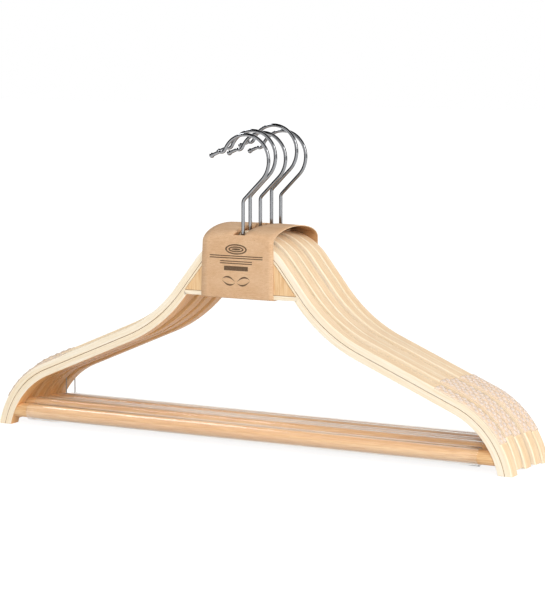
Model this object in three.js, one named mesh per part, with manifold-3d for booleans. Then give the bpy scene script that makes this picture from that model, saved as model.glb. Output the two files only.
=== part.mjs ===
// A shop pack of five bent-plywood clothes hangers, held together at the necks by one card sleeve.
// Millimetres, +Z up. The hangers spread along X, their fronts look towards -Y, their feet stand at Z 0.
import * as THREE from "three";
import { mergeVertices } from "three/addons/utils/BufferGeometryUtils.js";
import Module from "manifold-3d";

const wasm = await Module();
wasm.setup();

// One hanger's bent wood: its overall width, and the bends of the glue line from the neck down to the foot.
const HANGER_WIDTH = 445;
const STRIP_DEPTH = 11;
const UPPER_THICKNESS = 5.5;
const LOWER_THICKNESS = 5.2;
const NECK_RADIUS = 43;
const NECK_ANGLE = 51.7;
const NECK_SLOPE_LENGTH = 30;
const THROAT_RADIUS = 121;
const SHOULDER_ANGLE = 22.9;
const END_RADIUS = 66;
const END_ANGLE = 75;
const END_LENGTH = 3;
const GLUE_LINE = 0.4;
const BEND_STEP = 6;

// The neck, where the lower lamella splits into a ply that climbs and a ply that runs straight across.
const NECK_HEIGHT = 46.4;
const INNER_PLY = 1.8;
const BRIDGE_PLY = 3.3;
const FIT_GAP = 0.3;

// The hook: a bent wire with a ball at its tip, riveted so that it can turn in a bush inside the neck.
const WIRE_DIAMETER = 2.8;
const BALL_DIAMETER = 4.2;
const HOOK_RADIUS = 19.5;
const HOOK_OFFSET = 2.2;
const HOOK_RISE = 26.3;
const HOOK_SLANT = 45;
const HOOK_ARC_END = 156;
const HOOK_LIP_RADIUS = 3.5;
const HOOK_LIP_DROP = 23;
const HOOK_LIP_LENGTH = 7.5;
const BUSH_DIAMETER = 7;
const BUSH_LENGTH = 14;
const BUSH_DEPTH = 3;
const RIVET_DIAMETER = 4.6;
const RIVET_HEIGHT = 1.6;
const SWIVEL_CLEARANCE = 0.1;
const WIRE_SIDES = 8;
const WIRE_STEPS = 38;

// The trouser bar with its turned tenons, and the clear tube pulled over it.
const BAR_DIAMETER = 11;
const BAR_HEIGHT = 11.4;
const TENON_DIAMETER = 6;
const TENON_LENGTH = 4;
const TUBE_WALL = 1.2;
const TUBE_SETBACK = 12;
const ROUND_SIDES = 16;

// The soft studded strips on the shoulder ends, measured along the glue line from the foot.
const GRIP_THICKNESS = 1;
const GRIP_MARGIN = 0.5;
const GRIP_START = 21.5;
const GRIP_LENGTH = 62;

// The pack: how far apart neighbouring tubes lie, and how each hanger and hook sits in the sleeve.
const PACK_GAP = 0.6;
const PLACES = [
  { lift: 0, shift: 0, hookLift: 0 },
  { lift: 2.7, shift: -2.2, hookLift: -0.4 },
  { lift: 1, shift: -1.6, hookLift: -0.7 },
  { lift: 1.5, shift: 0, hookLift: 3.9 },
  { lift: 0, shift: 0, hookLift: 0.5 },
];

// The card sleeve, open at both sides, with a slot over its arched top for the hooks.
const SLEEVE_WIDTH = 62;
const SLEEVE_OFFSET = -1.8;
const SLEEVE_CARD = 0.6;
const SLEEVE_RISE = 6.2;
const SLOT_WIDTH = 10.4;
const ARCH_STEPS = 20;

// The thin loop tied round the rear hanger's left arm and bar.
const TIE_DIAMETER = 0.9;
const TIE_SETBACK = 11;
const TIE_CLEARANCE = 0.3;
const TIE_SLACK = 1.5;
const TIE_SIDES = 6;
const TIE_STEPS = 28;

// Sizes that follow from those above.
const rad = THREE.MathUtils.degToRad;
const tubeDiameter = BAR_DIAMETER + 2 * FIT_GAP + 2 * TUBE_WALL;
const pitch = tubeDiameter + PACK_GAP;
const packDepth = (PLACES.length - 1) * pitch + STRIP_DEPTH;
const midDepth = STRIP_DEPTH / 2;
const shifts = PLACES.map(({ shift }) => shift);
const midShift = (Math.min(...shifts) + Math.max(...shifts)) / 2;

const finish = (color, roughness, metalness = 0) =>
  new THREE.MeshStandardMaterial({ color, roughness, metalness });
const materials = {
  plywood: finish(0xf6e6cb, 0.55),
  neckWood: finish(0xf0c896, 0.6),
  barWood: finish(0xdca873, 0.5),
  chrome: finish(0xc9ccd0, 0.12, 1),
  steel: finish(0x9a9da0, 0.35, 1),
  clearTube: finish(0xe8d6c4, 0.1),
  softGrip: finish(0xeedccd, 0.45),
  card: finish(0xdeb893, 0.85),
  tie: finish(0x8e8a86, 0.4),
};

// Solids are cut and joined here, then turned back into geometry.
function solidOf(geometry) {
  const bare = geometry.clone();
  bare.deleteAttribute("normal");
  bare.deleteAttribute("uv");
  const merged = mergeVertices(bare, 1e-4);
  const mesh = new wasm.Mesh({
    numProp: 3,
    vertProperties: merged.attributes.position.array,
    triVerts: new Uint32Array(merged.index.array),
  });
  return new wasm.Manifold(mesh);
}

function geometryOf(solid) {
  const mesh = solid.getMesh();
  const geometry = new THREE.BufferGeometry();
  geometry.setAttribute("position", new THREE.BufferAttribute(new Float32Array(mesh.vertProperties), 3));
  geometry.setIndex(new THREE.BufferAttribute(new Uint32Array(mesh.triVerts), 1));
  geometry.computeVertexNormals();
  return geometry;
}

// An outline in X and Z, extruded from the front face backwards.
function slab(outline, depth, front = 0) {
  const shape = new THREE.Shape(outline.map(([x, z]) => new THREE.Vector2(x, z)));
  const geometry = new THREE.ExtrudeGeometry(shape, { depth, bevelEnabled: false, steps: 1 });
  return geometry.rotateX(Math.PI / 2).translate(0, front + depth, 0);
}

function rodAlongX(diameter, fromX, toX, z) {
  const rod = new THREE.CylinderGeometry(diameter / 2, diameter / 2, toX - fromX, ROUND_SIDES);
  return rod.rotateZ(Math.PI / 2).translate((fromX + toX) / 2, midDepth, z);
}

function rodAlongZ(diameter, fromZ, toZ) {
  const rod = new THREE.CylinderGeometry(diameter / 2, diameter / 2, toZ - fromZ, ROUND_SIDES);
  return rod.rotateX(Math.PI / 2).translate(0, midDepth, (fromZ + toZ) / 2);
}

// A hole of flat sides that a round rod of the given diameter just passes through.
const holeDiameter = (diameter) => diameter / Math.cos(Math.PI / ROUND_SIDES);

// The glue line's right half, from the neck's crown to the foot, as points with their slope angles.
function glueLine() {
  const angles = { neck: rad(NECK_ANGLE), shoulder: rad(SHOULDER_ANGLE), end: rad(END_ANGLE) };
  const spread =
    (NECK_RADIUS + THROAT_RADIUS) * Math.sin(angles.neck) +
    NECK_SLOPE_LENGTH * Math.cos(angles.neck) -
    (THROAT_RADIUS + END_RADIUS) * Math.sin(angles.shoulder) +
    END_RADIUS * Math.sin(angles.end) +
    END_LENGTH * Math.cos(angles.end);
  const footX = HANGER_WIDTH / 2 - UPPER_THICKNESS / Math.sin(angles.end);
  const shoulderLength = (footX - spread) / Math.cos(angles.shoulder);

  const points = [{ x: 0, z: 0, angle: 0 }];
  const last = () => points[points.length - 1];
  const bend = (radius, toAngle) => {
    const { x, z, angle } = last();
    const side = toAngle > angle ? 1 : -1;
    const steps = Math.max(2, Math.ceil(Math.abs(toAngle - angle) / rad(BEND_STEP)));
    for (let step = 1; step <= steps; step++) {
      const now = angle + ((toAngle - angle) * step) / steps;
      points.push({
        x: x + side * radius * (Math.sin(now) - Math.sin(angle)),
        z: z + side * radius * (Math.cos(now) - Math.cos(angle)),
        angle: now,
      });
    }
  };
  const straight = (length) => {
    const { x, z, angle } = last();
    points.push({ x: x + length * Math.cos(angle), z: z - length * Math.sin(angle), angle });
  };
  bend(NECK_RADIUS, angles.neck);
  straight(NECK_SLOPE_LENGTH);
  bend(THROAT_RADIUS, angles.shoulder);
  straight(shoulderLength);
  bend(END_RADIUS, angles.end);
  straight(END_LENGTH);
  const drop = last().z;
  return points.map((point) => ({ ...point, z: point.z - drop }));
}

const glue = glueLine();
const crown = glue[0].z;
const neckTop = crown + UPPER_THICKNESS;
const bridgeBottom = neckTop - NECK_HEIGHT;

// The glue line moved outwards by a distance, from the crown down to the floor.
function edge(distance) {
  const points = glue.map(({ x, z, angle }) => [
    x + distance * Math.sin(angle),
    z + distance * Math.cos(angle),
  ]);
  const foot = glue[glue.length - 1];
  points[points.length - 1] = [foot.x + distance / Math.sin(foot.angle), 0];
  return points;
}

// The part of an edge above a height, ended exactly at that height.
function edgeAbove(points, height) {
  const below = points.findIndex(([, z]) => z < height);
  const [x0, z0] = points[below - 1];
  const [x1, z1] = points[below];
  const share = (z0 - height) / (z0 - z1);
  return [...points.slice(0, below), [x0 + share * (x1 - x0), height]];
}

// How high an edge stands at a distance from the middle.
function heightAt(points, distance) {
  const beyond = points.findIndex(([x]) => x > distance);
  const [x0, z0] = points[beyond - 1];
  const [x1, z1] = points[beyond];
  return z0 + ((z1 - z0) * (distance - x0)) / (x1 - x0);
}

function edgeBelow(points, height) {
  const below = points.findIndex(([, z]) => z < height);
  return [edgeAbove(points, height).at(-1), ...points.slice(below)];
}

// A half edge and its mirror image as one run from the left end to the right end.
const mirrored = (half) => [...half.slice(1).reverse().map(([x, z]) => [-x, z]), ...half];

// Where an arm's inner face stands at the height of the bar.
const bayHalf = edgeAbove(edge(-LOWER_THICKNESS), BAR_HEIGHT).at(-1)[0];

// The hole that the hook's shank runs in, drilled from above the neck down to a height.
function shankHole(downTo) {
  const width = holeDiameter(WIRE_DIAMETER + 2 * SWIVEL_CLEARANCE);
  return solidOf(rodAlongZ(width, downTo, neckTop + UPPER_THICKNESS));
}

function upperLamella() {
  const outline = [
    ...mirrored(edge(UPPER_THICKNESS)),
    ...mirrored(edge(GLUE_LINE / 2)).reverse(),
  ];
  return geometryOf(solidOf(slab(outline, STRIP_DEPTH)).subtract(shankHole(crown - NECK_HEIGHT / 2)));
}

function lowerLamella() {
  const underside = [[0, bridgeBottom], ...edgeBelow(edge(-LOWER_THICKNESS), bridgeBottom)];
  const outline = [...mirrored(edge(-GLUE_LINE / 2)), ...mirrored(underside).reverse()];
  const window = mirrored(edgeAbove(edge(-INNER_PLY), bridgeBottom + BRIDGE_PLY));
  const tenonEnd = bayHalf + TENON_LENGTH + FIT_GAP;
  const tenonWidth = holeDiameter(TENON_DIAMETER + 2 * FIT_GAP);
  const tenonHole = rodAlongX(tenonWidth, -tenonEnd, tenonEnd, BAR_HEIGHT);
  return geometryOf(
    solidOf(slab(outline, STRIP_DEPTH))
      .subtract(solidOf(slab(window, 3 * STRIP_DEPTH, -STRIP_DEPTH)))
      .subtract(solidOf(tenonHole))
      .subtract(shankHole(crown - NECK_HEIGHT / 2)),
  );
}

// The bush sits in the neck block a little below the block's crown.
const blockTop = crown - INNER_PLY - FIT_GAP;
const bushTop = blockTop - BUSH_DEPTH;
const bushBottom = bushTop - BUSH_LENGTH;
const rivetTop = bushBottom + RIVET_HEIGHT + 2 * FIT_GAP;

function neckBlock() {
  const half = edgeAbove(edge(-INNER_PLY - FIT_GAP), bridgeBottom + BRIDGE_PLY + FIT_GAP);
  const pocketWidth = holeDiameter(BUSH_DIAMETER + 2 * FIT_GAP);
  const pocket = rodAlongZ(pocketWidth, bushBottom - FIT_GAP, bushTop + FIT_GAP);
  return geometryOf(
    solidOf(slab(mirrored(half), STRIP_DEPTH))
      .subtract(solidOf(pocket))
      .subtract(shankHole(bushTop)),
  );
}

function hookBush() {
  const bore = holeDiameter(WIRE_DIAMETER + 2 * SWIVEL_CLEARANCE) / 2;
  const chamber = holeDiameter(RIVET_DIAMETER + 2 * FIT_GAP) / 2;
  const profile = [
    [bore, rivetTop],
    [chamber, rivetTop],
    [chamber, bushBottom],
    [BUSH_DIAMETER / 2, bushBottom],
    [BUSH_DIAMETER / 2, bushTop],
    [bore, bushTop],
    [bore, rivetTop],
  ];
  const points = profile.map(([r, z]) => new THREE.Vector2(r, z));
  return new THREE.LatheGeometry(points, ROUND_SIDES).rotateX(Math.PI / 2).translate(0, midDepth, 0);
}

// The hook's centre line: shank, slanted run, round loop over the rail, and a lip that turns outwards.
function hookPath(lift) {
  const at = (x, z) => new THREE.Vector3(x, midDepth, z);
  const bendZ = neckTop + HOOK_RISE + lift;
  const slant = rad(HOOK_SLANT);
  const loopX = HOOK_OFFSET;
  const slantWidth = loopX + HOOK_RADIUS * Math.sin(slant);
  const loopZ = bendZ + slantWidth * Math.tan(slant) + HOOK_RADIUS * Math.cos(slant);
  const loopStart = slant - Math.PI / 2;
  const onArc = (x, z, radius, angle) => at(x + radius * Math.cos(angle), z + radius * Math.sin(angle));
  const arcCurve = (x, z, radius, from, to) => {
    const curve = new THREE.Curve();
    curve.getPoint = (share) => onArc(x, z, radius, from + (to - from) * share);
    return curve;
  };

  const loopEnd = rad(HOOK_ARC_END);
  const lipX = loopX + (HOOK_RADIUS + HOOK_LIP_RADIUS) * Math.cos(loopEnd);
  const lipZ = loopZ + (HOOK_RADIUS + HOOK_LIP_RADIUS) * Math.sin(loopEnd);
  const lipFrom = loopEnd - Math.PI;
  const lipTo = -Math.PI / 2 - rad(HOOK_LIP_DROP);
  const lipEnd = onArc(lipX, lipZ, HOOK_LIP_RADIUS, lipTo);
  const tip = at(
    lipEnd.x - HOOK_LIP_LENGTH * Math.cos(rad(HOOK_LIP_DROP)),
    lipEnd.z - HOOK_LIP_LENGTH * Math.sin(rad(HOOK_LIP_DROP)),
  );

  const path = new THREE.CurvePath();
  path.add(new THREE.LineCurve3(at(0, rivetTop - FIT_GAP - RIVET_HEIGHT / 2), at(0, bendZ)));
  path.add(new THREE.LineCurve3(at(0, bendZ), onArc(loopX, loopZ, HOOK_RADIUS, loopStart)));
  path.add(arcCurve(loopX, loopZ, HOOK_RADIUS, loopStart, loopEnd));
  path.add(arcCurve(lipX, lipZ, HOOK_LIP_RADIUS, lipFrom, lipTo));
  path.add(new THREE.LineCurve3(lipEnd, tip));
  return { path, tip };
}

function hook(lift) {
  const { path, tip } = hookPath(lift);
  const corners = Array.from({ length: WIRE_SIDES }, (_, side) => {
    const angle = (2 * Math.PI * side) / WIRE_SIDES;
    const radius = WIRE_DIAMETER / 2;
    return new THREE.Vector2(radius * Math.cos(angle), radius * Math.sin(angle));
  });
  const wire = new THREE.ExtrudeGeometry(new THREE.Shape(corners), {
    steps: WIRE_STEPS,
    extrudePath: path,
    bevelEnabled: false,
  });
  const ball = new THREE.SphereGeometry(BALL_DIAMETER / 2, WIRE_SIDES, WIRE_SIDES / 2);
  ball.translate(tip.x, tip.y, tip.z);
  const rivet = rodAlongZ(RIVET_DIAMETER, rivetTop - FIT_GAP - RIVET_HEIGHT, rivetTop - FIT_GAP);
  return geometryOf(solidOf(wire).add(solidOf(ball)).add(solidOf(rivet)));
}

function bar() {
  const bay = mirrored(edge(-LOWER_THICKNESS - FIT_GAP));
  const shoulders = slab(bay, 3 * STRIP_DEPTH, -STRIP_DEPTH);
  const tenonEnd = bayHalf + TENON_LENGTH;
  return geometryOf(
    solidOf(rodAlongX(BAR_DIAMETER, -HANGER_WIDTH / 2, HANGER_WIDTH / 2, BAR_HEIGHT))
      .intersect(solidOf(shoulders))
      .add(solidOf(rodAlongX(TENON_DIAMETER, -tenonEnd, tenonEnd, BAR_HEIGHT))),
  );
}

function barTube() {
  const half = bayHalf - TUBE_SETBACK;
  const inner = holeDiameter(BAR_DIAMETER + 2 * FIT_GAP);
  return geometryOf(
    solidOf(rodAlongX(tubeDiameter, -half, half, BAR_HEIGHT)).subtract(
      solidOf(rodAlongX(inner, -HANGER_WIDTH / 2, HANGER_WIDTH / 2, BAR_HEIGHT)),
    ),
  );
}

// The glue line's stretch between two distances from the foot, moved outwards onto the top of the wood.
function stretch(fromFoot, toFoot, distance) {
  const points = [...glue].reverse();
  const run = [];
  let travelled = 0;
  for (let index = 1; index < points.length; index++) {
    const a = points[index - 1];
    const b = points[index];
    const length = Math.hypot(b.x - a.x, b.z - a.z);
    const put = (share) => {
      const angle = a.angle + (b.angle - a.angle) * share;
      const x = a.x + (b.x - a.x) * share + distance * Math.sin(angle);
      const z = a.z + (b.z - a.z) * share + distance * Math.cos(angle);
      run.push([x, z]);
    };
    const start = (fromFoot - travelled) / length;
    const end = (toFoot - travelled) / length;
    if (start >= 0 && start < 1) put(start);
    if (start < 1 && end > 1) put(1);
    if (end > 0 && end <= 1) put(end);
    travelled += length;
  }
  return run;
}

function grip(side) {
  const seat = UPPER_THICKNESS + FIT_GAP;
  const inner = stretch(GRIP_START, GRIP_START + GRIP_LENGTH, seat);
  const outer = stretch(GRIP_START, GRIP_START + GRIP_LENGTH, seat + GRIP_THICKNESS);
  const outline = [...inner, ...outer.reverse()].map(([x, z]) => [side * x, z]);
  return slab(outline, STRIP_DEPTH - 2 * GRIP_MARGIN, GRIP_MARGIN);
}

// The sleeve's front and back walls, its flat bottom and its arched top, drawn in Y and Z.
function sleeveOutline(inset) {
  const front = -FIT_GAP - SLEEVE_CARD + inset;
  const back = packDepth + FIT_GAP + SLEEVE_CARD - inset;
  const bottom = bridgeBottom - FIT_GAP - SLEEVE_CARD + inset;
  const spring = neckTop + FIT_GAP;
  const rise = SLEEVE_RISE - inset;
  const points = [new THREE.Vector2(front, bottom), new THREE.Vector2(back, bottom)];
  for (let step = 0; step <= ARCH_STEPS; step++) {
    const angle = (Math.PI * step) / ARCH_STEPS;
    const y = (front + back) / 2 + ((back - front) / 2) * Math.cos(angle);
    points.push(new THREE.Vector2(y, spring + rise * Math.sin(angle)));
  }
  return points;
}

function cardSleeve() {
  const section = new THREE.Shape(sleeveOutline(0));
  section.holes.push(new THREE.Path(sleeveOutline(SLEEVE_CARD)));
  const band = new THREE.ExtrudeGeometry(section, { depth: SLEEVE_WIDTH, bevelEnabled: false, steps: 1 });
  band.applyMatrix4(new THREE.Matrix4().set(0, 0, 1, 0, 1, 0, 0, 0, 0, 1, 0, 0, 0, 0, 0, 1));
  band.translate(SLEEVE_OFFSET - SLEEVE_WIDTH / 2, 0, 0);
  const slot = new THREE.BoxGeometry(SLOT_WIDTH, 2 * packDepth, SLEEVE_RISE);
  slot.translate(0, packDepth / 2, neckTop + FIT_GAP + SLEEVE_RISE / 2 + SLEEVE_CARD);
  return geometryOf(solidOf(band).subtract(solidOf(slot)));
}

// A ring pulled long: its lower half goes round the bar, its upper half arches over the arm.
function tieLoop() {
  const x = -(bayHalf - TIE_SETBACK);
  const armTop = heightAt(edge(UPPER_THICKNESS + FIT_GAP + GRIP_THICKNESS), -x);
  const radius = Math.max(STRIP_DEPTH, BAR_DIAMETER) / 2 + TIE_CLEARANCE + TIE_DIAMETER / 2;
  const upperCentre = armTop + TIE_SLACK;
  const ring = new THREE.TorusGeometry(radius, TIE_DIAMETER / 2, TIE_SIDES, TIE_STEPS);
  ring.rotateZ(Math.PI / TIE_STEPS);
  const position = ring.attributes.position;
  for (let index = 0; index < position.count; index++) {
    const across = position.getX(index);
    const up = position.getY(index);
    const out = position.getZ(index);
    position.setXYZ(index, x + out, midDepth + across, up + (up > 0 ? upperCentre : BAR_HEIGHT));
  }
  return ring;
}

const pack = new THREE.Group();
const addTo = (group, name, geometry, material) => {
  const mesh = new THREE.Mesh(geometry, material);
  mesh.name = name;
  group.add(mesh);
};

PLACES.forEach(({ lift, shift, hookLift }, index) => {
  const hanger = new THREE.Group();
  hanger.position.set(shift, index * pitch, lift);
  pack.add(hanger);
  const name = (piece) => `hanger${index + 1}_${piece}`;
  addTo(hanger, name("upper_lamella"), upperLamella(), materials.plywood);
  addTo(hanger, name("lower_lamella"), lowerLamella(), materials.plywood);
  addTo(hanger, name("neck_block"), neckBlock(), materials.neckWood);
  addTo(hanger, name("hook"), hook(hookLift), materials.chrome);
  addTo(hanger, name("hook_bush"), hookBush(), materials.steel);
  addTo(hanger, name("bar"), bar(), materials.barWood);
  addTo(hanger, name("bar_tube"), barTube(), materials.clearTube);
  addTo(hanger, name("grip_left"), grip(-1), materials.softGrip);
  addTo(hanger, name("grip_right"), grip(1), materials.softGrip);
  if (index === PLACES.length - 1) addTo(hanger, "tie_loop", tieLoop(), materials.tie);
});
addTo(pack, "card_sleeve", cardSleeve(), materials.card);

// The origin is on the floor, under the middle of the pack.
pack.position.set(-midShift, -packDepth / 2, 0);
const root = new THREE.Group();
root.add(pack);

export default root;
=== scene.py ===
import math
import bmesh
import bpy
from mathutils import Matrix, Vector


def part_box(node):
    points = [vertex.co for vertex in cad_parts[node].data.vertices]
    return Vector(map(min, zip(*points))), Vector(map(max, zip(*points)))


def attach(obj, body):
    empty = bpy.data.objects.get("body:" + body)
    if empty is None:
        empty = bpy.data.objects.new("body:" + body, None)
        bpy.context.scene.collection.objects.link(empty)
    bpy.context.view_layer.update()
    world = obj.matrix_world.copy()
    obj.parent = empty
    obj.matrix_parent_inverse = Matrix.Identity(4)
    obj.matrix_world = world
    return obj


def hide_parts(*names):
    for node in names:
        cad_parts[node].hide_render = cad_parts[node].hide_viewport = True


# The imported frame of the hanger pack: five bent-plywood hangers in a row, from hanger 1 in front
# to hanger 5 behind, with their hooks on bodies of their own and all the rest on the body "pack".
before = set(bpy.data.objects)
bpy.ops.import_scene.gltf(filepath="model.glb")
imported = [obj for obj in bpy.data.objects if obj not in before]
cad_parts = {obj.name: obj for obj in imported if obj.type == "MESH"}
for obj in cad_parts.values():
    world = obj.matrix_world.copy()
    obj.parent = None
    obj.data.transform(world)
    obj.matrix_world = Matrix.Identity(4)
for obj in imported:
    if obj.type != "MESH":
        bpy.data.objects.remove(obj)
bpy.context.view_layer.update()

# The camera stands to the right of the pack and a little above it, with a long lens. Its angles and
# lens were fitted to the front hanger's glue line and to the outlines of the hangers behind it.
CAMERA_AZIMUTH = math.radians(28.942)
CAMERA_ELEVATION = math.radians(7.078)
CAMERA_ROLL = math.radians(0.097)
CAMERA_DISTANCE = 1.67423
CAMERA_AIM = Vector((0.029356, -0.0347, 0.114924))
FOCAL_PIXELS = 2250.4
PICTURE_HEIGHT = 600
SENSOR_HEIGHT = 36
camera_back = Vector((
    math.sin(CAMERA_AZIMUTH) * math.cos(CAMERA_ELEVATION),
    -math.cos(CAMERA_AZIMUTH) * math.cos(CAMERA_ELEVATION),
    math.sin(CAMERA_ELEVATION),
))
level_right = Vector((math.cos(CAMERA_AZIMUTH), math.sin(CAMERA_AZIMUTH), 0))
level_up = camera_back.cross(level_right)
camera_right = level_right * math.cos(CAMERA_ROLL) + level_up * math.sin(CAMERA_ROLL)
camera_up = camera_back.cross(camera_right)
lens = bpy.data.cameras.new("photo_camera")
lens.sensor_fit = "VERTICAL"
lens.sensor_height = SENSOR_HEIGHT
lens.lens = SENSOR_HEIGHT * FOCAL_PIXELS / PICTURE_HEIGHT
camera = bpy.data.objects.new("photo_camera", lens)
camera_place = Matrix((camera_right, camera_up, camera_back)).transposed().to_4x4()
camera_place.translation = CAMERA_AIM + camera_back * CAMERA_DISTANCE
camera.matrix_world = camera_place
bpy.context.scene.collection.objects.link(camera)
bpy.context.scene.camera = camera
bpy.context.scene.view_settings.view_transform = "Standard"

# The studio: a white table that the pack stands on, white walls all round, a soft lamp in front
# beside the camera, one at the right, a strip overhead at the left whose reflection lies along the
# tubes, and a dark ceiling and dark cards that give the chrome its dark lines.
MM = 0.001
FLOOR_HALF = 6.0
FLOOR_DROP = 0.3 * MM
TABLE_BOUNCE = 0.82
TABLE_GLOW = 0.88
TABLE_WHITE = 0.34
ROOM_LIGHT = 0.70
ROOM_COLOUR = (1.0, 0.985, 0.96)
SCATTER_LIMIT = 0.5
CARD_BLACK = (0.012, 0.012, 0.013, 1)
CARD_DULLNESS = 0.9
STUDIO_MIDDLE = (0, 0, 0.1)


def link(name, mesh):
    # Puts a mesh into the scene.
    thing = bpy.data.objects.new(name, mesh)
    bpy.context.scene.collection.objects.link(thing)
    return thing


def joined(source, target):
    # Feeds a node's result into another node.
    source.id_data.links.new(source, target)


def combined(operation, first, second):
    # Two values worked into one. The second is a number or another node's result.
    step = first.id_data.nodes.new("ShaderNodeMath")
    step.operation = operation
    joined(first, step.inputs[0])
    if isinstance(second, float):
        step.inputs[1].default_value = second
    else:
        joined(second, step.inputs[1])
    return step.outputs[0]


def show_by_sight(tree, output, scattered, seen):
    # One shader shows where the camera looks, straight or in polished metal or through clear
    # plastic. The other takes part in light that has scattered off something dull.
    path = tree.nodes.new("ShaderNodeLightPath")
    metal = combined("MAXIMUM", path.outputs["Is Camera Ray"], path.outputs["Is Glossy Ray"])
    plastic = combined("MAXIMUM", metal, path.outputs["Is Transmission Ray"])
    unscattered = combined("LESS_THAN", path.outputs["Diffuse Depth"], SCATTER_LIMIT)
    mix = tree.nodes.new("ShaderNodeMixShader")
    joined(combined("MULTIPLY", plastic, unscattered), mix.inputs[0])
    joined(scattered.outputs[0], mix.inputs[1])
    joined(seen.outputs[0], mix.inputs[2])
    joined(mix.outputs[0], tree.nodes.new(output).inputs["Surface"])


table_mesh = bpy.data.meshes.new("table")
table_mesh.from_pydata(
    [
        (-FLOOR_HALF, -FLOOR_HALF, -FLOOR_DROP),
        (FLOOR_HALF, -FLOOR_HALF, -FLOOR_DROP),
        (FLOOR_HALF, FLOOR_HALF, -FLOOR_DROP),
        (-FLOOR_HALF, FLOOR_HALF, -FLOOR_DROP),
    ],
    [],
    [(0, 1, 2, 3)],
)
table = link("table", table_mesh)
table_white = bpy.data.materials.new("table_white")
table_white.use_nodes = True
table_nodes = table_white.node_tree.nodes
table_nodes.clear()
table_bounce = table_nodes.new("ShaderNodeBsdfDiffuse")
table_bounce.inputs["Color"].default_value = (TABLE_BOUNCE, TABLE_BOUNCE, TABLE_BOUNCE, 1)
table_shadow = table_nodes.new("ShaderNodeBsdfDiffuse")
table_shadow.inputs["Color"].default_value = (TABLE_WHITE, TABLE_WHITE, TABLE_WHITE, 1)
table_glow = table_nodes.new("ShaderNodeEmission")
table_glow.inputs["Strength"].default_value = TABLE_GLOW
table_add = table_nodes.new("ShaderNodeAddShader")
joined(table_shadow.outputs[0], table_add.inputs[0])
joined(table_glow.outputs[0], table_add.inputs[1])
show_by_sight(table_white.node_tree, "ShaderNodeOutputMaterial", table_bounce, table_add)
table_mesh.materials.append(table_white)

room = bpy.data.worlds.new("white_room")
bpy.context.scene.world = room
room.use_nodes = True
room_nodes = room.node_tree.nodes
room_nodes.clear()
room_fill = room_nodes.new("ShaderNodeBackground")
room_fill.inputs["Color"].default_value = (*ROOM_COLOUR, 1)
room_fill.inputs["Strength"].default_value = ROOM_LIGHT
room_wall = room_nodes.new("ShaderNodeBackground")
room_wall.inputs["Color"].default_value = (1, 1, 1, 1)
room_wall.inputs["Strength"].default_value = 1.0
show_by_sight(room.node_tree, "ShaderNodeOutputWorld", room_fill, room_wall)


def aimed(thing, place, aim):
    # Puts a lamp or a card in its place, facing a point.
    thing.location = place
    thing.rotation_euler = (Vector(aim) - Vector(place)).to_track_quat("-Z", "Y").to_euler()


def soft_lamp(name, place, aim, width, height, watts, colour):
    # Clear plastic throws no shadow here, so a lamp isn't seen through it, or it would count twice.
    lamp = bpy.data.lights.new(name, "AREA")
    lamp.shape = "RECTANGLE"
    lamp.size = width
    lamp.size_y = height
    lamp.energy = watts
    lamp.color = colour
    thing = bpy.data.objects.new(name, lamp)
    aimed(thing, place, aim)
    thing.visible_transmission = False
    bpy.context.scene.collection.objects.link(thing)
    return thing


front = soft_lamp(
    "front_softbox", (0.92, -1.76, 0.9), STUDIO_MIDDLE, width=1.2, height=1.0, watts=17, colour=ROOM_COLOUR
)
front.visible_glossy = False
soft_lamp(
    "side_softbox", (1.9, -0.45, 0.9), STUDIO_MIDDLE, width=1.0, height=1.0, watts=20,
    colour=(1.0, 0.97, 0.93),
)
soft_lamp(
    "overhead_strip", (-0.96, -0.15, 1.35), (-0.15, 0, 0.05), width=0.7, height=0.36, watts=7,
    colour=(1.0, 1.0, 1.0),
)


def dark_card(name, place, aim, width, height):
    # A black card that shows only in polished metal and in the gloss of clear plastic.
    mesh = bpy.data.meshes.new(name)
    w = width / 2
    h = height / 2
    mesh.from_pydata([(-w, -h, 0), (w, -h, 0), (w, h, 0), (-w, h, 0)], [], [(0, 1, 2, 3)])
    card = link(name, mesh)
    aimed(card, place, aim)
    card.visible_camera = False
    card.visible_diffuse = False
    card.visible_transmission = False
    card.visible_shadow = False
    black = bpy.data.materials.new(name)
    black.use_nodes = True
    shade = black.node_tree.nodes["Principled BSDF"]
    shade.inputs["Base Color"].default_value = CARD_BLACK
    shade.inputs["Roughness"].default_value = CARD_DULLNESS
    mesh.materials.append(black)


HOOKS_MIDDLE = (0, 0, 0.2)
dark_card("dark_ceiling", (0.2, -0.4, 2.0), (0.2, -0.39, 0), width=4.0, height=3.4)
dark_card("dark_card_back_right", (0.80, 1.35, 0.45), HOOKS_MIDDLE, width=1.3, height=1.3)
dark_card("dark_card_back_left", (-1.55, 0.05, 0.45), HOOKS_MIDDLE, width=1.3, height=1.3)
dark_card("dark_card_left", (-1.25, -1.3, 0.8), HOOKS_MIDDLE, width=1.5, height=1.6)
dark_card("dark_card_right", (1.75, 0.1, 0.5), HOOKS_MIDDLE, width=0.9, height=1.3)
# The ceiling also takes light from the tops of the wood.
bpy.data.objects["dark_ceiling"].visible_diffuse = True

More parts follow.
